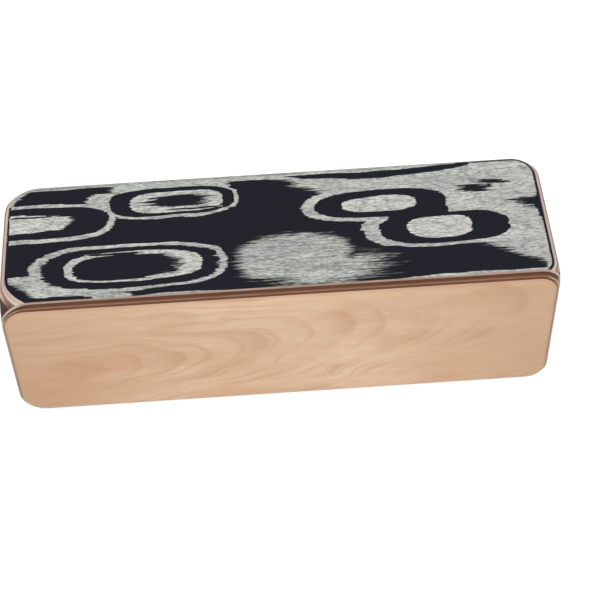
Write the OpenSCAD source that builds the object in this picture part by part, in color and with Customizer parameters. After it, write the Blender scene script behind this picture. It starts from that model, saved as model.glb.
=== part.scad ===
// Hand shaker: a closed box of six plywood panels, sanded round on every edge, with loose shot inside.
// X runs along the box, Y from front to back, Z up. The origin is the middle of the underside.

/* [Overall size] */
// Length over both ends
body_l = 180; // [140:1:240]
// Depth from the front face to the back face
body_w = 55; // [45:1:75]
// Height from the underside to the top face
body_h = 55; // [45:1:75]

/* [Plywood, from the outside in] */
// Plain beech face veneer of the front and the back
face_veneer_t = 0.75; // [0.5:0.05:1]
// Figured face veneer of the top, the bottom and the ends
figured_veneer_t = 0.4; // [0.3:0.05:0.7]
// Thin crossband under the beech veneer; under the figured veneer it makes up the difference
outer_crossband_t = 0.4; // [0.3:0.05:0.8]
// Core ply in the middle of the board
core_ply_t = 0.5; // [0.3:0.05:1]
// Thick crossband behind the core
inner_crossband_t = 1.05; // [0.6:0.05:1.4]
// Veneer that faces the chamber
inner_veneer_t = 0.8; // [0.5:0.05:1.1]

/* [Sanded edges] */
// Radius of the round-over along every edge
edge_r = 3.5; // [2.5:0.1:4.5]
// Radius of the flat faces' corners at the left end's top, where the sanding is softest
left_top_corner_r = 8.5; // [3:0.5:11]
// Radius of the flat faces' corners at the left end's bottom
left_bottom_corner_r = 5.5; // [3:0.5:11]
// Radius of the flat faces' corners at the right end
right_corner_r = 4; // [3:0.5:11]

/* [Shot] */
// Diameter of one steel ball
shot_d = 4; // [3:0.1:5]
// Least gap between a ball and whatever is next to it
shot_gap = 0.15; // [0.1:0.05:0.3]
// Width across Y of the cell that one ball lies in
shot_cell_w = 5; // [4.9:0.1:6]

/* [Hidden] */
// Fineness of the sanded surfaces: degrees of edge turned per facet, and facets per stretch of a corner
edge_step = 10;
rim_facets = 3;
dome_facets = 8;
$fn = 48;

// Layout of the loose shot: lanes along X, each with a grid of cells
shot_lanes = 8;
shot_columns = 4;
shot_rows = 3;

// Depth below the outer face at which each ply starts, and the board's full thickness at the end, for the
// beech panels and for the figured ones
ply_t = [face_veneer_t, outer_crossband_t, core_ply_t, inner_crossband_t, inner_veneer_t];
beech_depth = [for (i = 0, d = 0; i <= len(ply_t); d = d + (i < len(ply_t) ? ply_t[i] : 0), i = i + 1) d];
figured_depth = [for (i = [0:len(ply_t)]) i == 1 ? figured_veneer_t : beech_depth[i]];
panel_t = beech_depth[len(ply_t)];

// Chamber between the panels
chamber_l = body_l - 2 * panel_t;
chamber_w = body_w - 2 * panel_t;
chamber_h = body_h - 2 * panel_t;
lane_l = chamber_l / shot_lanes;
shot_cell_l = lane_l / shot_columns;
lane_w = shot_rows * shot_cell_w;

// Depth at which the rim of a flat face hands over to the dome of a corner
dome_start = edge_r * (1 - sqrt(1 / 2));

beech = [0.80, 0.67, 0.55];
beech_end_grain = [0.45, 0.30, 0.22];
figured = [0.16, 0.17, 0.19];
steel = [0.62, 0.63, 0.65];

// Reach of the round-over beyond the flat face, at a depth below that face
function rim(depth) = sqrt(pow(edge_r, 2) - pow(edge_r - min(depth, edge_r), 2));

// Angle that the round-over has turned through at a depth
function edge_angle(depth) = acos(1 - min(depth, edge_r) / edge_r);

// One corner of the sanded box, cut parallel to a face at a depth below it, as [in from one side, in from
// the next]. A rim of radius edge_r runs round each flat face, whose corners have radius corner_r, and a
// dome that the three rims are tangent to closes the corner between them.
function corner_cut(depth, corner_r) =
    depth <= dome_start ? flat_rim_cut(depth, corner_r) : dome_cut(depth, corner_r);

function flat_rim_cut(depth, corner_r) =
    let (centre = edge_r + corner_r, r = corner_r + rim(depth), steps = 2 * rim_facets + dome_facets)
    [for (i = [0:steps]) [centre - r * cos(90 * i / steps), centre - r * sin(90 * i / steps)]];

function dome_cut(depth, corner_r) =
    let (
        centre = edge_r + corner_r,
        side = side_rim_cut(depth, corner_r),
        r = sqrt(pow(sqrt(2) * corner_r + edge_r, 2) - pow(centre - depth, 2)),
        first = acos((centre - dome_start) / r),
        dome = [
            for (i = [1:dome_facets - 1])
                let (angle = first + (90 - 2 * first) * i / dome_facets)
                [centre - r * cos(angle), centre - r * sin(angle)]
        ]
    )
    concat(side, dome, [for (i = [rim_facets:-1:0]) [side[i].y, side[i].x]]);

// Stretch of the cut that crosses the rim of the neighbouring face, from its straight edge to the dome
function side_rim_cut(depth, corner_r) =
    let (centre = edge_r + corner_r, first = acos(rim(depth) / edge_r))
    [
        for (i = [0:rim_facets])
            let (angle = first + (45 - first) * i / rim_facets, r = corner_r + edge_r * sin(angle))
            [edge_r * (1 - cos(angle)), centre - sqrt(max(0, pow(r, 2) - pow(centre - depth, 2)))]
    ];

function backwards(points) = [for (i = [len(points) - 1:-1:0]) points[i]];

// Whole outline of the sanded box at a depth below a face, anticlockwise about the face's middle, with one
// radius for each corner in that order, from the corner at plus X and plus Y
function face_outline(size, depth, corner_r) =
    let (cut = [for (r = corner_r) corner_cut(depth, r)], half = size / 2)
    concat(
        [for (p = cut[0]) [half.x - p.x, half.y - p.y]],
        [for (p = backwards(cut[1])) [p.x - half.x, half.y - p.y]],
        [for (p = cut[2]) [p.x - half.x, p.y - half.y]],
        [for (p = backwards(cut[3])) [half.x - p.x, p.y - half.y]]
    );

// Depths at which the outline is taken through one ply, even in the angle that the edge has turned
function loft_depths(top, bottom) =
    let (turn = edge_angle(bottom) - edge_angle(top), steps = max(1, ceil(turn / edge_step)))
    concat(
        [for (i = [0:steps - 1]) edge_r * (1 - cos(edge_angle(top) + turn * i / steps))],
        [bottom]
    );

// Slice of the sanded box between two depths below a face, face down on the XY plane and growing up
module sanded_slice(size, corner_r, top, bottom) {
    depths = loft_depths(top, bottom);
    outlines = [for (d = depths) face_outline(size, d, corner_r)];
    n = len(outlines[0]);
    rings = len(depths);
    polyhedron(
        points = [for (k = [0:rings - 1]) for (p = outlines[k]) [p.x, p.y, depths[k]]],
        faces = concat(
            [[for (i = [0:n - 1]) i]],
            [for (k = [0:rings - 2]) for (i = [0:n - 1])
                [k * n + i, (k + 1) * n + i, (k + 1) * n + (i + 1) % n]],
            [for (k = [0:rings - 2]) for (i = [0:n - 1])
                [k * n + i, (k + 1) * n + (i + 1) % n, k * n + (i + 1) % n]],
            [[for (i = [n - 1:-1:0]) (rings - 1) * n + i]]
        )
    );
}

// One ply of a panel between two depths, cut square where other panels cover its sides, from one corner point
// of the cut to the opposite one
module ply(top, bottom, size, corner_r, from, to) {
    intersection() {
        sanded_slice(size, corner_r, top, bottom);
        translate([from.x, from.y, top]) cube([to.x - from.x, to.y - from.y, bottom - top]);
    }
}

// Front and back run the full length; the front is full height and covers the edges of all the others
module upright_ply(index, panel_h) {
    corner_r = [right_corner_r, left_bottom_corner_r, left_top_corner_r, right_corner_r];
    cut = [body_l, panel_h] / 2;
    translate([0, -body_w / 2, body_h / 2]) rotate([-90, 0, 0])
        ply(beech_depth[index], beech_depth[index + 1], [body_l, body_h], corner_r, -cut, cut);
}

module front_ply(index) {
    upright_ply(index, body_h);
}

// The back is set in between top and bottom
module back_ply(index) {
    mirror([0, 1, 0]) upright_ply(index, chamber_h);
}

// Top and bottom butt against the front and reach over the back and the ends
module level_ply(index, left_r) {
    corner_r = [right_corner_r, left_r, left_r, right_corner_r];
    from = [-body_l, -chamber_w] / 2;
    to = [body_l, body_w] / 2;
    ply(figured_depth[index], figured_depth[index + 1], [body_l, body_w], corner_r, from, to);
}

module bottom_ply(index) {
    level_ply(index, left_bottom_corner_r);
}

module top_ply(index) {
    translate([0, 0, body_h]) mirror([0, 0, 1]) level_ply(index, left_top_corner_r);
}

// The ends are set in between the other four
module end_ply(index, top_r, bottom_r) {
    corner_r = [top_r, top_r, bottom_r, bottom_r];
    cut = [chamber_w, chamber_h] / 2;
    translate([-body_l / 2, 0, body_h / 2]) rotate([90, 0, 90])
        ply(figured_depth[index], figured_depth[index + 1], [body_w, body_h], corner_r, -cut, cut);
}

module left_end_ply(index) {
    end_ply(index, left_top_corner_r, left_bottom_corner_r);
}

module right_end_ply(index) {
    mirror([1, 0, 0]) end_ply(index, right_corner_r, right_corner_r);
}

// Balls that lie loose on the floor in one lane, each somewhere in its own cell, free to run front to back
module shot_lane(lane) {
    count = shot_columns * shot_rows;
    room = [shot_cell_l, shot_cell_w] / 2 - [1, 1] * (shot_d + shot_gap) / 2;
    across = rands(-1, 1, count, 2 * lane);
    along = rands(-1, 1, count, 2 * lane + 1);
    first = [-chamber_l / 2 + (lane - 1) * lane_l + shot_cell_l / 2, (shot_cell_w - lane_w) / 2];
    for (i = [0:count - 1]) {
        column = i % shot_columns;
        row = floor(i / shot_columns);
        x = first.x + column * shot_cell_l + along[i] * room.x;
        y = first.y + row * shot_cell_w + across[i] * room.y;
        translate([x, y, panel_t + shot_gap + shot_d / 2]) sphere(d = shot_d);
    }
}

module front_face_veneer() { color(beech) front_ply(0); }
module front_outer_crossband() { color(beech_end_grain) front_ply(1); }
module front_core_ply() { color(beech) front_ply(2); }
module front_inner_crossband() { color(beech_end_grain) front_ply(3); }
module front_inner_veneer() { color(beech) front_ply(4); }

module back_face_veneer() { color(beech) back_ply(0); }
module back_outer_crossband() { color(beech_end_grain) back_ply(1); }
module back_core_ply() { color(beech) back_ply(2); }
module back_inner_crossband() { color(beech_end_grain) back_ply(3); }
module back_inner_veneer() { color(beech) back_ply(4); }

module top_figured_veneer() { color(figured) top_ply(0); }
module top_outer_crossband() { color(beech) top_ply(1); }
module top_core_ply() { color(beech_end_grain) top_ply(2); }
module top_inner_crossband() { color(beech) top_ply(3); }
module top_inner_veneer() { color(beech_end_grain) top_ply(4); }

module bottom_figured_veneer() { color(figured) bottom_ply(0); }
module bottom_outer_crossband() { color(beech) bottom_ply(1); }
module bottom_core_ply() { color(beech_end_grain) bottom_ply(2); }
module bottom_inner_crossband() { color(beech) bottom_ply(3); }
module bottom_inner_veneer() { color(beech_end_grain) bottom_ply(4); }

module left_end_figured_veneer() { color(figured) left_end_ply(0); }
module left_end_outer_crossband() { color(beech) left_end_ply(1); }
module left_end_core_ply() { color(beech_end_grain) left_end_ply(2); }
module left_end_inner_crossband() { color(beech) left_end_ply(3); }
module left_end_inner_veneer() { color(beech_end_grain) left_end_ply(4); }

module right_end_figured_veneer() { color(figured) right_end_ply(0); }
module right_end_outer_crossband() { color(beech) right_end_ply(1); }
module right_end_core_ply() { color(beech_end_grain) right_end_ply(2); }
module right_end_inner_crossband() { color(beech) right_end_ply(3); }
module right_end_inner_veneer() { color(beech_end_grain) right_end_ply(4); }

module shot_lane_1() { color(steel) shot_lane(1); }
module shot_lane_2() { color(steel) shot_lane(2); }
module shot_lane_3() { color(steel) shot_lane(3); }
module shot_lane_4() { color(steel) shot_lane(4); }
module shot_lane_5() { color(steel) shot_lane(5); }
module shot_lane_6() { color(steel) shot_lane(6); }
module shot_lane_7() { color(steel) shot_lane(7); }
module shot_lane_8() { color(steel) shot_lane(8); }

front_face_veneer();
front_outer_crossband();
front_core_ply();
front_inner_crossband();
front_inner_veneer();
back_face_veneer();
back_outer_crossband();
back_core_ply();
back_inner_crossband();
back_inner_veneer();
top_figured_veneer();
top_outer_crossband();
top_core_ply();
top_inner_crossband();
top_inner_veneer();
bottom_figured_veneer();
bottom_outer_crossband();
bottom_core_ply();
bottom_inner_crossband();
bottom_inner_veneer();
left_end_figured_veneer();
left_end_outer_crossband();
left_end_core_ply();
left_end_inner_crossband();
left_end_inner_veneer();
right_end_figured_veneer();
right_end_outer_crossband();
right_end_core_ply();
right_end_inner_crossband();
right_end_inner_veneer();
shot_lane_1();
shot_lane_2();
shot_lane_3();
shot_lane_4();
shot_lane_5();
shot_lane_6();
shot_lane_7();
shot_lane_8();
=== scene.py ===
# Hand shaker: a closed box of six plywood panels, sanded round after gluing, with loose steel shot inside.
import math
import bmesh
import bpy
import numpy as np
from mathutils import Matrix, Vector


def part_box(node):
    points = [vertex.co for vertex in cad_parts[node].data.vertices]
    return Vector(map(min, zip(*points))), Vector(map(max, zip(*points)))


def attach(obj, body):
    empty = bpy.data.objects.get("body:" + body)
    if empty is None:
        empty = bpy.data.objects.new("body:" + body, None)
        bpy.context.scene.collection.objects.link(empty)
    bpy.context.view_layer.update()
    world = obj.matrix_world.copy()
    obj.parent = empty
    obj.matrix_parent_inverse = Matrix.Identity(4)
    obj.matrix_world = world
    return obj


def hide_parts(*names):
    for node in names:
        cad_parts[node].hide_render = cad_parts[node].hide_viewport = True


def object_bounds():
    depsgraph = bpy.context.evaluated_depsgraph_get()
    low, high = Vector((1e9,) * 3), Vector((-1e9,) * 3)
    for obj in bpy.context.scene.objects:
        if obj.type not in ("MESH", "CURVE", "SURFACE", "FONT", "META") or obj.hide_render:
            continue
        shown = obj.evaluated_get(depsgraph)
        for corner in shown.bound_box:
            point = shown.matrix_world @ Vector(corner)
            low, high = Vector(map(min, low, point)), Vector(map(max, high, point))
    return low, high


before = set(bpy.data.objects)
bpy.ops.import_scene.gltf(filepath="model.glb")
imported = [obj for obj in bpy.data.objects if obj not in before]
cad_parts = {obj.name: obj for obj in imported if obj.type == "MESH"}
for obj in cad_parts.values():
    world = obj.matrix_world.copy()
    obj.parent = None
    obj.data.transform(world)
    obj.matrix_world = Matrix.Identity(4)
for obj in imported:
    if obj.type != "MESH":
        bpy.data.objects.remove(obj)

cad_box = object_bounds()

# Front face veneer: a full sheet of plain beech, rotary cut, the outermost ply of the panel that covers the
# edges of all the others. The glued box is sanded round as a whole, so the rim rolls over into the edge. The
# corners turn wider at the left end, less so on the face itself. The finish is a thin satin lacquer.
MM = 0.001
AXIS = {"x": np.array([1.0, 0.0, 0.0]), "y": np.array([0.0, 1.0, 0.0]), "z": np.array([0.0, 0.0, 1.0])}
low = np.array(cad_box[0]) / MM
high = np.array(cad_box[1]) / MM
edge_r = 3.5
left_bottom_r = 5.5
right_r = 4.0
front_left_top_r = 10.0
front_face_left_top_r = 4.5
corner_points = 17
ring_step = math.radians(3.0)
ring_gap = 0.01
flat_border = 0.5
merge_gap = 0.02
sharp_turn = math.radians(25.0)


def panel(right, up, corner_r, corner_shapes, face_r=None):
    """A panel as seen from outside: its axes right, up and outward, the middle of its face, half its size,
    and for each corner, anticlockwise from the top right, its shape and its radius on the face and below."""
    outward = np.cross(right, up)
    middle = (low + high) / 2
    reach = (high - low) / 2
    half = np.array([abs(reach @ right), abs(reach @ up)])
    face = middle + outward * abs(reach @ outward)
    corners = list(zip(corner_shapes, face_r or corner_r, corner_r))
    return {"right": right, "up": up, "outward": outward, "face": face, "half": half, "corners": corners}


def ply_depth(node, board):
    """Depths below the panel's face at which a ply starts and ends, read from its CAD box."""
    ends = [(board["face"] - np.array(corner) / MM) @ board["outward"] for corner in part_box(node)]
    return min(ends), max(ends)


def ring_depths(top, bottom, through):
    """Depths of the rings through one ply: even in the angle that the rounded edge has turned through, and
    at those of the depths to pass through that lie inside the ply."""
    first, last = np.arccos(np.clip(1.0 - np.array([top, bottom]) / edge_r, -1.0, 1.0))
    rings = max(2, math.ceil((last - first) / ring_step) + 1)
    depth = edge_r * (1.0 - np.cos(np.linspace(first, last, rings)))
    inside = [passed for passed in through if top + ring_gap < passed < bottom - ring_gap]
    return np.sort(np.concatenate([depth, inside]))


def skin_reach(a, b, corner_r):
    """How far the sanded skin stands out past a corner's centre along one axis, at a and b past it along the
    other two. Close to the axis it is the flat face. A quarter round of edge_r swept along the flat's own
    corner arc follows until it has turned 45 degrees. Then comes the dome, a ball about the centre to which
    all three rims are tangent, and where a or b lies outside the dome, the rim of that neighbouring face."""
    a = np.maximum(a, 0.0)
    b = np.maximum(b, 0.0)
    across = np.hypot(a, b)
    shoulder = corner_r + edge_r * math.sqrt(0.5)
    dome_r = corner_r * math.sqrt(2.0) + edge_r

    def root(square):
        return np.sqrt(np.maximum(square, 0.0))

    def quarter_round(offset):
        return corner_r + root(edge_r ** 2 - (offset - corner_r) ** 2)

    where = [across <= corner_r, across <= shoulder, a > shoulder, b > shoulder]
    skin = [
        np.full_like(across, corner_r + edge_r),
        quarter_round(across),
        root(quarter_round(a) ** 2 - b ** 2),
        root(quarter_round(b) ** 2 - a ** 2),
    ]
    return np.select(where, skin, root(dome_r ** 2 - across ** 2))


def diagonal_reach(depth, corner_r):
    """Radius of a corner's outline on its diagonal, at a depth: that of the face's rim, or further down that
    of the dome."""
    rim = np.sqrt(np.maximum(edge_r ** 2 - (edge_r - depth) ** 2, 0.0))
    dome = np.sqrt((corner_r * math.sqrt(2.0) + edge_r) ** 2 - (edge_r + corner_r - depth) ** 2)
    return np.where(depth <= edge_r * (1.0 - math.sqrt(0.5)), corner_r + rim, dome)


def mirrored(half_corner):
    """A corner from its half: the same points again beyond the diagonal, with the two axes swapped."""
    return np.concatenate([half_corner, half_corner[:, -2::-1, ::-1]], axis=1)


def full_corner(depth, corner_r):
    """Outline of the skin round one whole corner at each depth: points even in angle up to the diagonal."""
    turn = np.linspace(0.0, math.pi / 4.0, corner_points)
    along = diagonal_reach(depth, corner_r) * np.sin(turn)
    out = skin_reach(along, edge_r + corner_r - depth, corner_r)
    return mirrored(np.stack([out, along], axis=-1))


def outline(depth, board):
    """Rings about a panel's face, anticlockwise from outside: one row of points for each depth, corner by
    corner. A corner's radius passes smoothly from that on the face to that of the box at the depth of the
    round-over."""
    depth = depth[:, None]
    sunk = np.clip(depth / edge_r, 0.0, 1.0)
    sunk = sunk * sunk * (3.0 - 2.0 * sunk)
    turned = []
    for shape, face_r, side_r in board["corners"]:
        corner_r = face_r + (side_r - face_r) * sunk
        turned.append(board["half"] - edge_r - corner_r[..., None] + shape(depth, corner_r))
    right_top, left_top, left_bottom, right_bottom = turned
    corners = [
        right_top,
        left_top[:, ::-1] * (-1, 1),
        left_bottom * (-1, -1),
        right_bottom[:, ::-1] * (1, -1),
    ]
    return np.concatenate(corners, axis=1)


def ply_sheet(node, board, material, through=()):
    """One ply as a closed sheet: its rings joined by quads, with a flat cap on either side. One more ring,
    just inside the outer cap's border, keeps the flat face's shading flat right up to its rounded rim."""
    depth = ring_depths(*ply_depth(node, board), through)
    rings = outline(depth, board)
    rim = rings[0] * (1.0 - flat_border / np.abs(rings[0]).max(axis=0))
    rings = np.concatenate([rim[None], rings])
    depth = np.concatenate([depth[:1], depth])
    points = board["face"] + rings[..., :1] * board["right"] + rings[..., 1:] * board["up"]
    points = points - depth[:, None, None] * board["outward"]
    count = rings.shape[1]
    index = np.arange(points.shape[0] * count).reshape(points.shape[:2])
    ahead = np.roll(index, -1, axis=1)
    quads = np.stack([index[:-1], index[1:], ahead[1:], ahead[:-1]], axis=-1).reshape(-1, 4)
    faces = quads.tolist() + [index[0].tolist(), index[-1, ::-1].tolist()]
    mesh = bpy.data.meshes.new("sanded_" + node)
    mesh.from_pydata((points * MM).reshape(-1, 3), [], faces)
    shape = bmesh.new()
    shape.from_mesh(mesh)
    bmesh.ops.remove_doubles(shape, verts=shape.verts, dist=merge_gap * MM)
    shape.to_mesh(mesh)
    shape.free()
    mesh.shade_smooth()
    mesh.set_sharp_from_angle(angle=sharp_turn)
    mesh.materials.append(material)
    sheet = bpy.data.objects.new("sanded_" + node, mesh)
    bpy.context.scene.collection.objects.link(sheet)
    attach(sheet, "box")
    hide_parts(node)


def finish_tree(name):
    """A new material, with its node tree and its shader."""
    material = bpy.data.materials.new(name)
    material.use_nodes = True
    tree = material.node_tree
    return material, tree, tree.nodes["Principled BSDF"]


def put(tree, kind, feeds=None, **settings):
    """Adds a shader node with its own settings, its sockets fed with numbers or with other sockets."""
    made = tree.nodes.new("ShaderNode" + kind)
    for setting, value in settings.items():
        setattr(made, setting, value)
    for socket, value in (feeds or {}).items():
        if isinstance(value, bpy.types.NodeSocket):
            tree.links.new(value, made.inputs[socket])
        else:
            made.inputs[socket].default_value = value
    return made


def reckon(tree, operation, first, second=0.0, third=0.0):
    """One step of arithmetic between sockets or numbers."""
    return put(tree, "Math", {0: first, 1: second, 2: third}, operation=operation).outputs[0]


def between(tree, value, start, end, low_out=0.0, high_out=1.0):
    """Smooth step of a value from start to end, as low_out to high_out."""
    feeds = {"Value": value, "From Min": start, "From Max": end, "To Min": low_out, "To Max": high_out}
    return put(tree, "MapRange", feeds, interpolation_type="SMOOTHSTEP").outputs[0]


def tint(tree, amount, first, second):
    """Mixes two colours by an amount."""
    made = put(tree, "Mix", data_type="RGBA")
    for socket, value in (("Factor_Float", amount), ("A_Color", first), ("B_Color", second)):
        target = next(s for s in made.inputs if s.identifier == socket)
        if isinstance(value, bpy.types.NodeSocket):
            tree.links.new(value, target)
        else:
            target.default_value = value
    return next(s for s in made.outputs if s.identifier == "Result_Color")


def srgb(red, green, blue):
    """A display colour, 0 to 255, made linear."""
    value = np.array([red, green, blue]) / 255.0
    linear = np.where(value <= 0.04045, value / 12.92, ((value + 0.055) / 1.055) ** 2.4)
    return (*linear, 1.0)


def millimetres(tree):
    """The piece's own place in millimetres, as its three coordinates."""
    place = put(tree, "TexCoord").outputs["Object"]
    scaled = put(tree, "VectorMath", {0: place, "Scale": 1.0 / MM}, operation="SCALE").outputs[0]
    return put(tree, "SeparateXYZ", {0: scaled}).outputs


def faces_along(tree, letter):
    """How far the surface faces along an axis, whichever way."""
    normal = put(tree, "SeparateXYZ", {0: put(tree, "TexCoord").outputs["Normal"]}).outputs
    return reckon(tree, "ABSOLUTE", normal["xyz".index(letter)])


BOARD_SHIFT = (1.0, 0.37, 0.71)


def grain_noise(tree, lay, length, width, seed, detail=2.0, roughness=0.55):
    """Noise drawn out along the grain, as a value and a colour. Lay is the place along the grain, across it
    and through the sheet. One cell is length by width millimetres. The seed shifts it to another board."""
    cell = (length, width, width)
    shifted = [
        reckon(tree, "MULTIPLY_ADD", value, 1.0 / size, seed * shift)
        for value, size, shift in zip(lay, cell, BOARD_SHIFT)
    ]
    place = put(tree, "CombineXYZ", dict(enumerate(shifted))).outputs[0]
    feeds = {"Vector": place, "Scale": 1.0, "Detail": detail, "Roughness": roughness}
    return put(tree, "TexNoise", feeds).outputs


def swung(tree, noise, amount, value):
    """A value swung by noise, by up to half the amount to either side."""
    return reckon(tree, "MULTIPLY_ADD", noise, amount, reckon(tree, "SUBTRACT", value, amount / 2.0))


def finish_surface(tree, shader, colour, roughness, relief, relief_share, gloss=0.5, relief_mm=0.1):
    """Feeds a shader with its colour, its roughness, a fine relief in millimetres and its gloss."""
    feeds = {"Strength": relief_share, "Distance": relief_mm * MM, "Height": relief}
    bump = put(tree, "Bump", feeds).outputs[0]
    for socket, value in (("Base Color", colour), ("Roughness", roughness), ("Normal", bump)):
        tree.links.new(value, shader.inputs[socket])
    shader.inputs["Specular IOR Level"].default_value = gloss


wide_ring = 5.6
fine_ring = 2.3
pith_climb = 0.17
pith_dip = 0.2
pith_depth = 23.0
plain_beech = srgb(223, 191, 159)
BEECH_TINTS = {
    "blush": srgb(206, 165, 133),
    "cream": srgb(227, 198, 165),
    "mottle": srgb(204, 166, 133),
    "late wood": srgb(188, 145, 112),
    "fibre": srgb(190, 150, 120),
    "fleck": srgb(158, 112, 84),
    # painted shade: the face darkened towards both ends, in place of light falling off away from the middle
    "painted shade at ends": srgb(190, 149, 116),
    "rolled rim": srgb(184, 139, 112),
    "end grain": srgb(174, 136, 113),
}


def late_wood(tree, rings, spacing, start, peak, strength):
    """The dark late part of each growth ring: it rises from start to peak and drops at the ring's end."""
    phase = reckon(tree, "FRACT", reckon(tree, "DIVIDE", rings, spacing))
    rising = between(tree, phase, start, peak, 0.0, strength)
    return reckon(tree, "MULTIPLY", rising, between(tree, phase, 1.0, peak))


def beech_face(name, seed, heart):
    """Rotary-cut beech. The growth rings are cones about a pith that dips away under the sheet, so the sheet
    cuts them as nested arches: ring number = distance from the pith, bent by noise, over the ring spacing.
    Patches of tone, fibres and flecks of cut rays lie over them, and the rim darkens where it rolls over."""
    material, tree, shader = finish_tree(name)
    x, y, z = millimetres(tree)

    def noise(length, width, step, detail=2.0, roughness=0.55):
        return grain_noise(tree, (x, z, y), length, width, seed + step, detail, roughness)[0]

    sway = noise(46.0, 17.0, 0.0)
    drift = noise(24.0, 7.0, 3.0)
    height = reckon(tree, "MULTIPLY_ADD", x, -pith_climb, reckon(tree, "SUBTRACT", z, heart))
    height = swung(tree, drift, 4.0, swung(tree, sway, 15.0, height))
    dip = reckon(tree, "MULTIPLY_ADD", x, pith_dip, pith_depth)
    rings = reckon(tree, "MULTIPLY_ADD", height, height, reckon(tree, "MULTIPLY", dip, dip))
    rings = reckon(tree, "SQRT", rings)
    wide = late_wood(tree, rings, wide_ring, 0.5, 0.92, 0.85)
    fine = late_wood(tree, rings, fine_ring, 0.55, 0.88, 0.7)
    fade = between(tree, noise(46.0, 12.0, 5.0), 0.36, 0.62, 0.1, 0.6)
    blush = between(tree, noise(40.0, 22.0, 7.0), 0.42, 0.68, 0.0, 0.7)
    fibre = noise(12.0, 0.5, 13.0, 4.0, 0.6)
    rays = between(tree, noise(1.3, 0.16, 17.0, 1.0, 0.5), 0.66, 0.78)
    sparse = between(tree, noise(26.0, 14.0, 19.0), 0.42, 0.66, 0.25, 1.0)
    fleck = reckon(tree, "MULTIPLY", rays, sparse)
    shares = {
        "blush": reckon(tree, "MAXIMUM", blush, between(tree, rings, 27.0, 8.0)),
        "cream": between(tree, noise(36.0, 12.0, 11.0), 0.46, 0.68, 0.0, 0.7),
        "mottle": between(tree, noise(9.0, 3.0, 23.0, 3.0), 0.35, 0.68, 0.0, 0.25),
        "late wood": reckon(tree, "MULTIPLY", reckon(tree, "MAXIMUM", wide, fine), fade),
        "fibre": between(tree, fibre, 0.35, 0.75, 0.0, 0.2),
        "fleck": reckon(tree, "MULTIPLY", fleck, 0.5),
        # Painted shade: darkens the face from 20 mm out towards both ends, standing in for light that falls
        # off away from the middle.
        "painted shade at ends": between(tree, reckon(tree, "ABSOLUTE", x), 20.0, 90.0, 0.0, 0.6),
        "rolled rim": between(tree, faces_along(tree, "z"), 0.12, 0.65, 0.0, 0.55),
        "end grain": between(tree, faces_along(tree, "x"), 0.25, 0.7, 0.0, 0.75),
    }
    colour = plain_beech
    for wood, share in shares.items():
        colour = tint(tree, share, colour, BEECH_TINTS[wood])
    roughness = between(tree, fibre, 0.2, 0.8, 0.42, 0.6)
    relief = reckon(tree, "MULTIPLY_ADD", fleck, -0.5, fibre)
    finish_surface(tree, shader, colour, roughness, relief, relief_share=0.18, gloss=0.35)
    return material


front_corner_r = (right_r, front_left_top_r, left_bottom_r, right_r)
front_face_r = (right_r, front_face_left_top_r, left_bottom_r, right_r)
front = panel(AXIS["x"], AXIS["z"], front_corner_r, [full_corner] * 4, front_face_r)
ply_sheet("front_face_veneer", front, beech_face("beech_front_veneer", 2.0, 32.0))

# Plies under the front veneer: crossband, core, crossband and inner veneer, glued with their grain turned by
# a right angle from sheet to sheet. Sanding lays them open as stripes along every edge, pale where the edge
# runs with a ply's grain and dark brown where it cuts the fibres across.
PLIES = ("outer_crossband", "core_ply", "inner_crossband", "inner_veneer")
GRAIN_TURN = {"x": "xyz", "y": "yxz", "z": "zxy"}
pores_per_mm = 4.5
glue_t = 0.13
glue_brown = srgb(74, 48, 38)

# Each ply's grain axis, colour with the grain, colour across the grain, and seed.
UPRIGHT_LAY = (
    ("z", srgb(148, 114, 96), srgb(96, 61, 42), 51.0),
    ("x", srgb(139, 99, 76), srgb(178, 150, 132), 57.0),
    ("z", srgb(196, 166, 148), srgb(91, 56, 38), 63.0),
    ("x", srgb(176, 150, 134), srgb(190, 170, 156), 69.0),
)


def toned(colour, share):
    """A colour made darker or lighter by a share of its light."""
    return (*(share * np.array(colour[:3])), 1.0)


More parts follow.
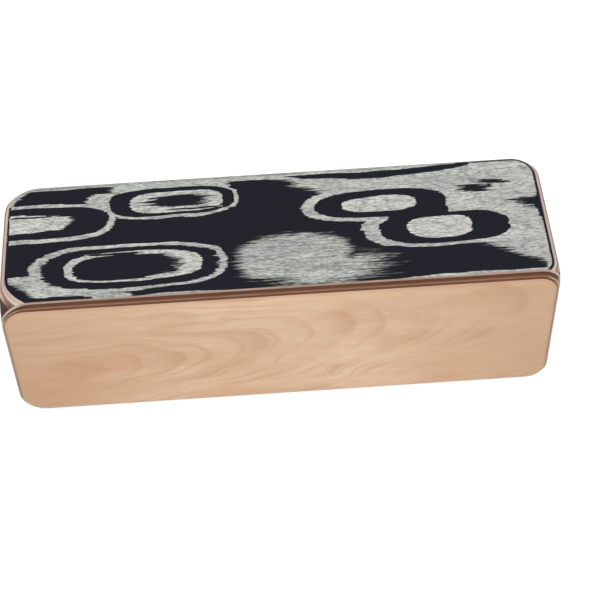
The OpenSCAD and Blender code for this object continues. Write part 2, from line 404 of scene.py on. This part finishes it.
def ply_edge(name, board, node, grain, long_grain, end_grain, seed):
    """A ply's sanded edge. The share of end grain is how far the surface faces along the grain. Long grain
    has fine streaks along the fibres, end grain has the dots of cut pores. A dark glue line runs where the
    ply starts below the sheet above, at its own depth from the face of its panel or of the one opposite."""
    material, tree, shader = finish_tree(name)
    place = millimetres(tree)
    lay = [place["xyz".index(letter)] for letter in GRAIN_TURN[grain]]
    along, across, through = lay
    streak = grain_noise(tree, lay, 6.0, 0.25, seed, 3.0)[0]
    patch = grain_noise(tree, lay, 18.0, 7.0, seed + 5.0)[0]
    end_on = put(tree, "CombineXYZ", {0: across, 1: through, 2: along}).outputs[0]
    pores = put(tree, "TexVoronoi", {"Vector": end_on, "Scale": pores_per_mm}, feature="F1")
    pores = pores.outputs["Distance"]
    pale = tint(tree, between(tree, streak, 0.3, 0.72, 0.0, 0.6), long_grain, toned(long_grain, 0.62))
    pale = tint(tree, between(tree, patch, 0.4, 0.7, 0.0, 0.6), pale, toned(long_grain, 1.15))
    brown = tint(tree, between(tree, pores, 0.34, 0.1, 0.0, 0.6), end_grain, toned(end_grain, 0.45))
    brown = tint(tree, between(tree, patch, 0.35, 0.7, 0.0, 0.4), brown, toned(end_grain, 1.3))
    colour = tint(tree, between(tree, faces_along(tree, grain), 0.22, 0.55), pale, brown)
    outward = int(np.abs(board["outward"]).argmax())
    middle = (low + high)[outward] / 2
    off_middle = reckon(tree, "ABSOLUTE", reckon(tree, "SUBTRACT", place[outward], middle))
    start = abs(board["face"][outward] - middle) - ply_depth(node, board)[0]
    sunk = reckon(tree, "SUBTRACT", start, off_middle)
    colour = tint(tree, between(tree, sunk, glue_t, 0.0, 0.0, 0.75), colour, glue_brown)
    roughness = between(tree, streak, 0.2, 0.8, 0.46, 0.66)
    relief = reckon(tree, "MULTIPLY_ADD", pores, 0.5, streak)
    finish_surface(tree, shader, colour, roughness, relief, relief_share=0.2, gloss=0.2)
    return material


upright_edges = {}
for ply, lay in zip(PLIES, UPRIGHT_LAY):
    upright_edges[ply] = ply_edge("beech_" + ply + "_upright", front, "front_" + ply, *lay)
    ply_sheet("front_" + ply, front, upright_edges[ply])

# Top and bottom figured veneers: reconstituted veneer, sliced from a block of black and bleached sheets that
# was pressed over bumps, so a slice cuts each bump as nested rings. Both panels butt against the front and
# reach over the back and the ends, where the sanding goes through into the sheets below.
left_top_r = 8.5
back_right_top_r = 6.0
board_t = ply_depth("front_inner_veneer", front)[1]


def covered_corner(depth, corner_r):
    """Outline of the skin round a corner of a panel whose long side is cut square behind its neighbour."""
    turn = np.linspace(0.0, math.pi / 2.0, 2 * corner_points - 1)
    along = (edge_r + corner_r - board_t) * np.sin(turn)
    out = skin_reach(along, edge_r + corner_r - depth, corner_r)
    return np.stack([out, along], axis=-1)


front_cut = [covered_corner] * 2
back_reach = [full_corner] * 2
top_corner_r = (back_right_top_r, left_top_r, front_left_top_r, right_r)
top = panel(AXIS["x"], AXIS["y"], top_corner_r, back_reach + front_cut)
bottom_corner_r = (right_r, left_bottom_r, left_bottom_r, right_r)
bottom = panel(AXIS["x"], -AXIS["y"], bottom_corner_r, front_cut + back_reach)
figured_t = ply_depth("top_figured_veneer", top)[1]

# Where one sheet of the stack passes into the next: start and end level, and the next sheet's tone.
stack_low = -1.0
stack_high = 1.5
SHEET_EDGES = (
    (-0.49, -0.46, 0.0),
    (0.005, 0.065, 1.0),
    (0.2, 0.26, 0.0),
    (0.7, 0.77, 1.0),
    (0.93, 1.09, 0.0),
    (1.41, 1.45, 1.0),
)

# Levels to which a press lifts the stack: sheet by sheet from the ground up to the middle of an eye.
SMEAR = -0.07
FILM = 0.0
OUTLINE = 0.13
RING = 0.58
CORE = 0.86
HEART = 1.18

# Each press: level, centre along and across the grain, reach along and across, length of its frayed rim.
TOP_PRESSES = (
    (SMEAR, -80.0, -25.0, 16.0, 7.0, 1.0),
    (SMEAR, -92.0, -12.0, 8.0, 14.0, 0.6),
    (OUTLINE, -91.4, 9.1, 39.5, 8.9, 1.0),
    (RING, -92.0, 9.4, 37.6, 7.2, 0.6),
    (CORE, -92.0, 9.3, 24.0, 4.3, 3.0),
    (HEART, -80.0, 12.3, 8.0, 0.35, 3.0),
    (OUTLINE, -53.0, 17.4, 10.0, 4.2, 3.0),
    (OUTLINE, -34.5, 22.5, 20.0, 4.6, 3.0),
    (OUTLINE, -4.0, 25.4, 14.0, 2.4, 2.0),
    (OUTLINE, -33.5, 15.5, 21.7, 7.4, 0.8),
    (RING, -34.0, 15.7, 20.5, 6.4, 0.6),
    (CORE, -32.8, 15.4, 15.2, 4.9, 0.6),
    (HEART, -32.5, 15.9, 9.5, 2.7, 7.0),
    (HEART, -27.0, 11.8, 9.0, 0.4, 2.0),
    (OUTLINE, -73.0, -17.6, 18.5, 4.9, 3.0),
    (OUTLINE, -63.0, -21.6, 9.0, 1.2, 3.0),
    (OUTLINE, -53.0, -23.0, 7.0, 1.4, 3.0),
    (OUTLINE, -36.0, -24.6, 18.0, 1.2, 2.0),
    (OUTLINE, -48.2, -11.6, 31.8, 9.9, 0.9),
    (RING, -47.7, -11.8, 28.2, 8.5, 1.6),
    (CORE, -46.8, -11.5, 22.2, 6.4, 0.6),
    (HEART, -50.5, -11.7, 15.5, 5.3, 1.0),
    (HEART, -44.5, -11.5, 13.0, 4.8, 5.0),
    (HEART, -53.0, -5.9, 9.0, 0.4, 2.0),
    (FILM, 5.0, -12.0, 18.0, 9.3, 3.0),
    (FILM, 15.0, -17.6, 18.5, 6.2, 9.0),
    (FILM, -36.0, 27.0, 26.0, 3.0, 2.0),
    (FILM, -20.0, 25.6, 82.0, 1.5, 0.5),
    (OUTLINE, 35.0, 8.8, 25.5, 7.4, 1.0),
    (RING, 35.2, 9.1, 21.0, 6.1, 0.6),
    (CORE, 35.0, 9.0, 11.8, 3.4, 0.6),
    (OUTLINE, 54.0, -3.2, 26.5, 7.6, 1.0),
    (RING, 54.5, -3.3, 21.2, 6.3, 0.6),
    (CORE, 53.2, -3.0, 10.9, 4.5, 0.6),
    (RING, 46.8, 3.3, 10.4, 4.3, 0.6),
    (RING, 34.5, 29.4, 34.5, 8.3, 1.0),
    (CORE, 33.5, 29.5, 27.0, 5.4, 0.8),
    (HEART, 33.5, 29.5, 24.5, 4.7, 0.8),
    (SMEAR, 67.5, 13.6, 5.5, 1.5, 4.0),
    (SMEAR, 73.5, 16.0, 5.5, 0.9, 4.0),
    (SMEAR, 90.0, 7.0, 10.0, 1.1, 7.0),
    (SMEAR, 91.0, 5.2, 10.5, 1.8, 7.0),
    (SMEAR, 90.5, 3.0, 4.8, 7.0, 1.0),
    (OUTLINE, 69.0, -27.0, 42.0, 3.85, 2.0),
    (OUTLINE, 91.0, -22.5, 5.5, 5.0, 1.0),
)
BOTTOM_PRESSES = (
    (OUTLINE, 60.0, 9.0, 31.0, 9.6, 1.5),
    (RING, 60.5, 9.3, 27.0, 8.0, 1.0),
    (CORE, 60.0, 9.0, 21.0, 6.2, 0.8),
    (HEART, 63.0, 9.0, 15.0, 4.6, 3.0),
    (OUTLINE, 16.0, -12.0, 27.0, 8.2, 1.5),
    (RING, 16.5, -12.0, 22.0, 6.4, 1.0),
    (CORE, 16.0, -12.3, 12.0, 4.2, 1.0),
    (OUTLINE, -36.0, 5.0, 27.0, 8.6, 1.5),
    (RING, -35.5, 5.2, 24.0, 7.0, 1.0),
    (CORE, -36.0, 5.0, 17.5, 5.2, 1.0),
    (HEART, -36.0, 5.4, 9.0, 2.4, 6.0),
    (OUTLINE, -92.0, -12.0, 36.0, 8.6, 1.5),
    (RING, -92.0, -12.0, 32.0, 6.8, 1.0),
    (CORE, -92.0, -11.8, 21.0, 4.2, 2.0),
    (FILM, 56.0, -15.0, 23.0, 8.0, 8.0),
    (OUTLINE, 6.0, 20.0, 30.0, 4.6, 4.0),
    (RING, 8.0, 30.0, 30.0, 7.4, 1.2),
    (SMEAR, -60.0, 17.0, 6.0, 1.4, 4.0),
)
oblong_power = 2.8

# The stack's own slope: rise along the grain, rise across it, and level at the box's middle.
TOP_SLOPE = (0.0261, 0.051, -1.16)
BOTTOM_SLOPE = (-0.022, 0.047, -0.95)
slope_low = -0.4
slope_high = 0.12
slope_fray = 0.13
level_fray = 0.04

# Corners sanded once more: line along, line across, side, product at which it is bare, power of onset.
TOP_WORN_CORNERS = (
    (-70.0, -8.0, -1.0, 205.0, 3.0),
    (-70.0, 8.0, 1.0, 270.0, 5.0),
)
VENEER_TONES = {
    "dull pale": srgb(198, 201, 195),
    "bright pale": srgb(220, 222, 213),
    "eye pale": srgb(228, 231, 221),
    "grey fibre": srgb(112, 115, 114),
    "grey hair": srgb(100, 103, 104),
    "black": srgb(20, 23, 31),
    "black fibre": srgb(32, 35, 45),
    "bare wood": srgb(206, 186, 170),
}


def sanded_depth(tree, along, across, depth, worn):
    """Depth below the veneer's face, with that of the worn corners added. There it grows with the product of
    the distances outward from two lines, to the left of one and to the given side of the other, until the
    veneer is sanded through."""
    for line_g, line_c, side, bare_at, onset in worn:
        off_g = reckon(tree, "MAXIMUM", reckon(tree, "SUBTRACT", line_g, along), 0.0)
        off_c = reckon(tree, "MULTIPLY", reckon(tree, "SUBTRACT", across, line_c), side)
        off_c = reckon(tree, "MAXIMUM", off_c, 0.0)
        share = reckon(tree, "DIVIDE", reckon(tree, "MULTIPLY", off_g, off_c), bare_at)
        depth = reckon(tree, "MULTIPLY_ADD", reckon(tree, "POWER", share, onset), figured_t, depth)
    return depth


def oblong(tree, point, centre_g, centre_c, reach_g, reach_c):
    """How far out a point lies in a rounded oblong, one at its rim: |along / reach| and |across / reach|,
    each to the oblong's power, added up, and the same root of the sum."""
    away = put(tree, "VectorMath", {
        0: point,
        1: (1.0 / reach_g, 1.0 / reach_c, 0.0),
        2: (-centre_g / reach_g, -centre_c / reach_c, 0.0),
    }, operation="MULTIPLY_ADD").outputs[0]
    away = put(tree, "VectorMath", {0: away}, operation="ABSOLUTE").outputs[0]
    powers = (oblong_power, oblong_power, 1.0)
    away = put(tree, "VectorMath", {0: away, 1: powers}, operation="POWER").outputs[0]
    away = put(tree, "VectorMath", {0: away, 1: (1.0, 1.0, 0.0)}, operation="DOT_PRODUCT").outputs["Value"]
    return reckon(tree, "POWER", away, 1.0 / oblong_power)


def stack_tone(tree, level):
    """Tone of the sheet at a level of the stack, black as nought and pale as one."""
    share = put(tree, "MapRange", {"Value": level, "From Min": stack_low, "From Max": stack_high}).outputs[0]
    stack = put(tree, "ValToRGB", {0: share})
    ramp = stack.color_ramp
    ramp.elements.remove(ramp.elements[1])
    ramp.elements[0].color = (1.0, 1.0, 1.0, 1.0)
    for start, end, tone in SHEET_EDGES:
        for stop, shade in ((start, 1.0 - tone), (end, tone)):
            added = ramp.elements.new((stop - stack_low) / (stack_high - stack_low))
            added.color = (shade, shade, shade, 1.0)
    return stack.outputs[0]


def figured_veneer(name, board, axes, presses, slope, seed, worn=()):
    """Slice through a stack of black and pale sheets pressed over bumps. The level of the stack picks the
    sheet. It starts from a slope and is lifted to a sheet's middle inside each press, sheet by sheet, less
    the depth that is sanded away. Fibres make a press's rim ragged, so that it frays along the grain by its
    feather's length. A film is a pale patch on top."""
    material, tree, shader = finish_tree(name)
    place = millimetres(tree)
    along, across, up = (place["xyz".index(letter)] for letter in axes)
    face = board["face"]["xyz".index(axes[2])]
    depth = reckon(tree, "ABSOLUTE", reckon(tree, "SUBTRACT", up, face))
    depth = sanded_depth(tree, along, across, depth, worn)

    def noise(length, width, step, detail=2.0, roughness=0.55):
        return grain_noise(tree, (along, across, 0.0), length, width, seed + step, detail, roughness)

    bend = put(tree, "SeparateXYZ", {0: noise(30.0, 13.0, 0.0)[1]}).outputs
    fray = put(tree, "SeparateXYZ", {0: noise(18.0, 0.7, 3.0, 5.0, 0.62)[1]}).outputs
    fibre = noise(2.6, 0.45, 7.0, 3.0, 0.6)[0]
    hair = noise(1.6, 0.34, 11.0, 2.0, 0.6)[0]
    cloud = noise(22.0, 7.0, 13.0)[0]
    ragged = swung(tree, fray[1], 4.0, swung(tree, fibre, 1.6, 0.0))
    g = swung(tree, fray[0], 2.0, swung(tree, bend[0], 6.0, along))
    c = swung(tree, bend[1], 3.0, across)
    rise = reckon(tree, "MULTIPLY_ADD", g, slope[0], reckon(tree, "MULTIPLY_ADD", c, slope[1], slope[2]))
    rise = reckon(tree, "MULTIPLY_ADD", ragged, slope_fray, rise)
    level = put(tree, "Clamp", {"Value": rise, "Min": slope_low, "Max": slope_high}).outputs[0]
    film = 0.0
    point = put(tree, "CombineXYZ", {0: g, 1: c}).outputs[0]
    for sheet, centre_g, centre_c, reach_g, reach_c, feather in sorted(presses, key=lambda press: press[0]):
        fringe = feather / reach_g
        rim = oblong(tree, point, centre_g, centre_c, reach_g, reach_c)
        rim = reckon(tree, "MULTIPLY_ADD", ragged, fringe, rim)
        if sheet == FILM:
            film = reckon(tree, "MAXIMUM", film, between(tree, rim, 1.0 + fringe / 2.0, 1.0 - fringe))
        else:
            inside = between(tree, rim, 1.0 + fringe / 2.0, 1.0 - fringe / 2.0)
            level = reckon(tree, "MULTIPLY_ADD", inside, reckon(tree, "SUBTRACT", sheet, level), level)
    film = reckon(tree, "MULTIPLY", film, between(tree, fray[2], 0.36, 0.54, 0.62, 1.0))
    level = reckon(tree, "MULTIPLY_ADD", ragged, level_fray, level)
    level = reckon(tree, "SUBTRACT", level, depth)
    tone = reckon(tree, "MAXIMUM", film, stack_tone(tree, level))
    patchy = between(tree, cloud, 0.36, 0.66)
    pale = tint(tree, patchy, VENEER_TONES["dull pale"], VENEER_TONES["bright pale"])
    pale = tint(tree, between(tree, level, 0.4, 0.6, 0.0, 0.7), pale, VENEER_TONES["eye pale"])
    pale = tint(tree, between(tree, fibre, 0.42, 0.7, 0.0, 0.6), pale, VENEER_TONES["grey fibre"])
    pale = tint(tree, between(tree, hair, 0.44, 0.7, 0.0, 0.75), pale, VENEER_TONES["grey hair"])
    streaky = between(tree, fibre, 0.4, 0.75, 0.0, 0.4)
    black = tint(tree, streaky, VENEER_TONES["black"], VENEER_TONES["black fibre"])
    colour = tint(tree, tone, black, pale)
    if worn:
        bare = between(tree, depth, 0.96 * figured_t, 1.08 * figured_t)
        colour = tint(tree, bare, colour, VENEER_TONES["bare wood"])
    roughness = between(tree, fibre, 0.25, 0.75, 0.5, 0.66)
    finish_surface(tree, shader, colour, roughness, fibre, relief_share=0.22, gloss=0.1)
    return material


for name, board, presses, slope, seed, worn in (
    ("top", top, TOP_PRESSES, TOP_SLOPE, 5.0, TOP_WORN_CORNERS),
    ("bottom", bottom, BOTTOM_PRESSES, BOTTOM_SLOPE, 83.0, ()),
):
    material = figured_veneer("figured_" + name + "_veneer", board, "xyz", presses, slope, seed, worn)
    ply_sheet(name + "_figured_veneer", board, material)

# Plies under the top and bottom veneers, crossed like those of the front. Their edges show at the two ends
# and along the back, where they sweep round the corners, and run out against the stripes of the front panel.
LEVEL_LAY = (
    ("y", srgb(212, 193, 178), srgb(210, 200, 188), 131.0),
    ("x", srgb(172, 130, 110), srgb(146, 110, 92), 137.0),
    ("y", srgb(206, 178, 160), srgb(112, 72, 56), 143.0),
    ("x", srgb(190, 160, 142), srgb(66, 48, 39), 149.0),
)
for ply, lay in zip(PLIES, LEVEL_LAY):
    material = ply_edge("beech_" + ply + "_level", top, "top_" + ply, *lay)
    for name, board in (("top", top), ("bottom", bottom)):
        ply_sheet(name + "_" + ply, board, material)

# Back panel: plain beech plywood like the front, as long as the box but set in between top and bottom, so
# only its two short sides are sanded round, over the edges of the end panels.
back_corner_r = (left_top_r, back_right_top_r, right_r, left_bottom_r)
back = panel(-AXIS["x"], AXIS["z"], back_corner_r, [covered_corner] * 4)
ply_sheet("back_face_veneer", back, beech_face("beech_back_veneer", 41.0, 21.0))
for ply, material in upright_edges.items():
    ply_sheet("back_" + ply, back, material)

# End panels: two square boards of the same plywood, set in between the other four and faced with the same
# figured veneer. All four sides are cut square, and only their corners are touched by the sanding.
END_SLOPE = (0.022, 0.04, -1.75)
LEFT_PRESSES = (
    (OUTLINE, -6.0, 36.0, 19.0, 8.0, 1.5),
    (RING, -6.0, 36.2, 16.5, 6.6, 1.0),
    (CORE, -6.0, 36.0, 12.0, 5.0, 1.0),
    (HEART, -6.0, 36.2, 6.0, 2.4, 5.0),
    (OUTLINE, 16.0, 15.0, 21.0, 8.0, 1.5),
    (RING, 16.0, 15.0, 17.0, 6.4, 1.0),
    (CORE, 16.0, 15.0, 9.0, 3.8, 1.0),
    (FILM, -22.0, 10.0, 12.0, 8.0, 7.0),
)
RIGHT_PRESSES = (
    (OUTLINE, 6.0, 20.0, 20.0, 8.6, 1.5),
    (RING, 6.0, 20.0, 17.5, 7.2, 1.0),
    (CORE, 6.0, 20.0, 13.0, 5.4, 0.8),
    (HEART, 4.0, 20.0, 8.5, 3.8, 3.0),
    (OUTLINE, -18.0, 41.0, 19.0, 7.4, 1.5),
    (RING, -18.0, 41.0, 15.5, 5.8, 1.0),
    (CORE, -18.0, 41.0, 8.0, 3.4, 1.0),
    (OUTLINE, 20.0, 45.0, 15.0, 6.0, 4.0),
)


def inset_corner(depth, corner_r):
    """Outline of the skin round a corner of a panel that is cut square on all four sides. Below the point
    where three panels meet, the outline is the bare square corner, and its points fall together there."""
    rise = edge_r + corner_r - depth
    cut = edge_r + corner_r - board_t
    diagonal = diagonal_reach(depth, corner_r)
    start = np.minimum(skin_reach(cut, rise, corner_r), cut)
    first = np.arcsin(start / diagonal)
    turn = first + (math.pi / 4.0 - first) * np.linspace(0.0, 1.0, corner_points)
    along = np.minimum(diagonal * np.sin(turn), cut)
    out = np.minimum(skin_reach(along, rise, corner_r), cut)
    return mirrored(np.stack([out, along], axis=-1))


def meeting_depths(board):
    """Depths below an end at which its panel's square corners come up to the domes of the box's corners."""
    corner_r = np.unique([side_r for shape, face_r, side_r in board["corners"]])
    cut = edge_r + corner_r - board_t
    dome_r = corner_r * math.sqrt(2.0) + edge_r
    return edge_r + corner_r - np.sqrt(dome_r ** 2 - 2.0 * cut ** 2)


square_cut = [inset_corner] * 4
left_corner_r = (front_left_top_r, left_top_r, left_bottom_r, left_bottom_r)
left_end = panel(-AXIS["y"], AXIS["z"], left_corner_r, square_cut)
right_corner_r = (back_right_top_r, right_r, right_r, right_r)
right_end = panel(AXIS["y"], AXIS["z"], right_corner_r, square_cut)
ENDS = (("left_end", left_end, LEFT_PRESSES, 211.0), ("right_end", right_end, RIGHT_PRESSES, 233.0))
for name, board, presses, seed in ENDS:
    material = figured_veneer("figured_" + name + "_veneer", board, "yzx", presses, END_SLOPE, seed)
    ply_sheet(name + "_figured_veneer", board, material, meeting_depths(board))

# Plies under the end veneers. Nearly all of their edges are glued up against the other panels, so just a
# small fan of each shows where three panels meet in a corner.
END_LAY = (
    ("z", srgb(84, 62, 50), srgb(48, 36, 30), 251.0),
    ("y", srgb(78, 56, 45), srgb(52, 38, 31), 257.0),
    ("z", srgb(92, 66, 52), srgb(58, 40, 32), 263.0),
    ("y", srgb(110, 80, 64), srgb(70, 48, 38), 269.0),
)
for ply, lay in zip(PLIES, END_LAY):
    material = ply_edge("beech_" + ply + "_end", left_end, "left_end_" + ply, *lay)
    for name, board, presses, seed in ENDS:
        ply_sheet(name + "_" + ply, board, material, meeting_depths(board))

# Shot: plain steel balls that lie loose on the floor of the sealed chamber and run from the front wall to the
# back wall. They are rolled and tumbled, so they are smooth but not mirror bright.
dull_steel = srgb(150, 152, 156)
bright_steel = srgb(190, 191, 193)
steel, tree, shader = finish_tree("tumbled_steel_shot")
place = millimetres(tree)
dull = grain_noise(tree, place, 0.9, 0.9, 7.0, 4.0)[0]
scuff = grain_noise(tree, place, 0.25, 0.25, 19.0)[0]
colour = tint(tree, between(tree, dull, 0.3, 0.7), dull_steel, bright_steel)
roughness = between(tree, scuff, 0.3, 0.7, 0.22, 0.4)
finish_surface(tree, shader, colour, roughness, scuff, relief_share=0.1, relief_mm=0.05)
shader.inputs["Metallic"].default_value = 1.0
for node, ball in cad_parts.items():
    if node.startswith("shot_lane_"):
        ball.data.materials.clear()
        ball.data.materials.append(steel)

# Studio: a pale table top that runs on into a white surround, two large soft lamps and a camera that looks
# down on the front and the top from the distance at which the box was photographed.
WHITE = (1.0, 1.0, 1.0, 1.0)
PALE_GREY = (0.8, 0.8, 0.8, 1.0)
floor_half = 6.0
floor_drop = 0.0002
floor_glow = 0.58
world_light = 0.52
world_seen = 1.0


def seen_directly(tree):
    """One where a ray comes from the camera, from a gloss or through glass, nought where it only lights."""
    ray = put(tree, "LightPath").outputs
    by_gloss = reckon(tree, "MAXIMUM", ray["Is Glossy Ray"], ray["Is Transmission Ray"])
    return reckon(tree, "MAXIMUM", ray["Is Camera Ray"], by_gloss)


floor_corners = [
    (-floor_half, -floor_half, -floor_drop),
    (floor_half, -floor_half, -floor_drop),
    (floor_half, floor_half, -floor_drop),
    (-floor_half, floor_half, -floor_drop),
]
floor_mesh = bpy.data.meshes.new("table_top")
floor_mesh.from_pydata(floor_corners, [], [(0, 1, 2, 3)])
floor = bpy.data.objects.new("table_top", floor_mesh)
bpy.context.scene.collection.objects.link(floor)
pale_top, tree, shader = finish_tree("pale_table_top")
floor_mesh.materials.append(pale_top)
shader.inputs["Base Color"].default_value = PALE_GREY
shader.inputs["Roughness"].default_value = 1.0
shader.inputs["Specular IOR Level"].default_value = 0.0
strength = reckon(tree, "MULTIPLY", seen_directly(tree), floor_glow)
glow = put(tree, "Emission", {"Color": WHITE, "Strength": strength}).outputs[0]
both = put(tree, "AddShader", {0: shader.outputs[0], 1: glow}).outputs[0]
tree.links.new(both, tree.nodes["Material Output"].inputs["Surface"])

world = bpy.data.worlds.new("white_surround")
bpy.context.scene.world = world
world.use_nodes = True
tree = world.node_tree
strength = reckon(tree, "MULTIPLY_ADD", seen_directly(tree), world_seen - world_light, world_light)
tree.links.new(strength, tree.nodes["Background"].inputs["Strength"])
tree.nodes["Background"].inputs["Color"].default_value = WHITE

lamp_aim = Vector((0.0, 0.0, 0.03))
for name, place, size, power in (
    ("key_softbox", (-0.55, -0.75, 1.05), 0.9, 8.4),
    ("fill_softbox", (0.85, -0.65, 0.7), 0.9, 4.2),
):
    lamp = bpy.data.lights.new(name, "AREA")
    lamp.shape = "SQUARE"
    lamp.size = size
    lamp.energy = power
    softbox = bpy.data.objects.new(name, lamp)
    bpy.context.scene.collection.objects.link(softbox)
    softbox.location = place
    softbox.rotation_euler = (lamp_aim - Vector(place)).to_track_quat("-Z", "Y").to_euler()

elevation, azimuth, roll = np.radians([50.71, -2.36, -1.88])
image_px = 591.0
focal_px = 1590.0
right_px = 16.4
down_px = 11.8
distance = 541.1
sensor_mm = 36.0
backward = np.array([
    math.sin(azimuth) * math.cos(elevation),
    -math.cos(azimuth) * math.cos(elevation),
    math.sin(elevation),
])
level_right = np.cross(-backward, AXIS["z"])
level_right = level_right / np.linalg.norm(level_right)
level_up = np.cross(level_right, -backward)
view_right = math.cos(roll) * level_right + math.sin(roll) * level_up
view_up = math.cos(roll) * level_up - math.sin(roll) * level_right
shift = view_right * right_px / focal_px - view_up * down_px / focal_px
stand = (low + high) / 2 + distance * (backward + shift)
camera_data = bpy.data.cameras.new("photo_camera")
camera_data.sensor_width = sensor_mm
camera_data.lens = sensor_mm * focal_px / image_px
camera = bpy.data.objects.new("photo_camera", camera_data)
bpy.context.scene.collection.objects.link(camera)
turned = Matrix((view_right, view_up, backward)).transposed().to_4x4()
camera.matrix_world = Matrix.Translation(Vector(stand * MM)) @ turned
bpy.context.scene.camera = camera
bpy.context.scene.view_settings.view_transform = "Standard"
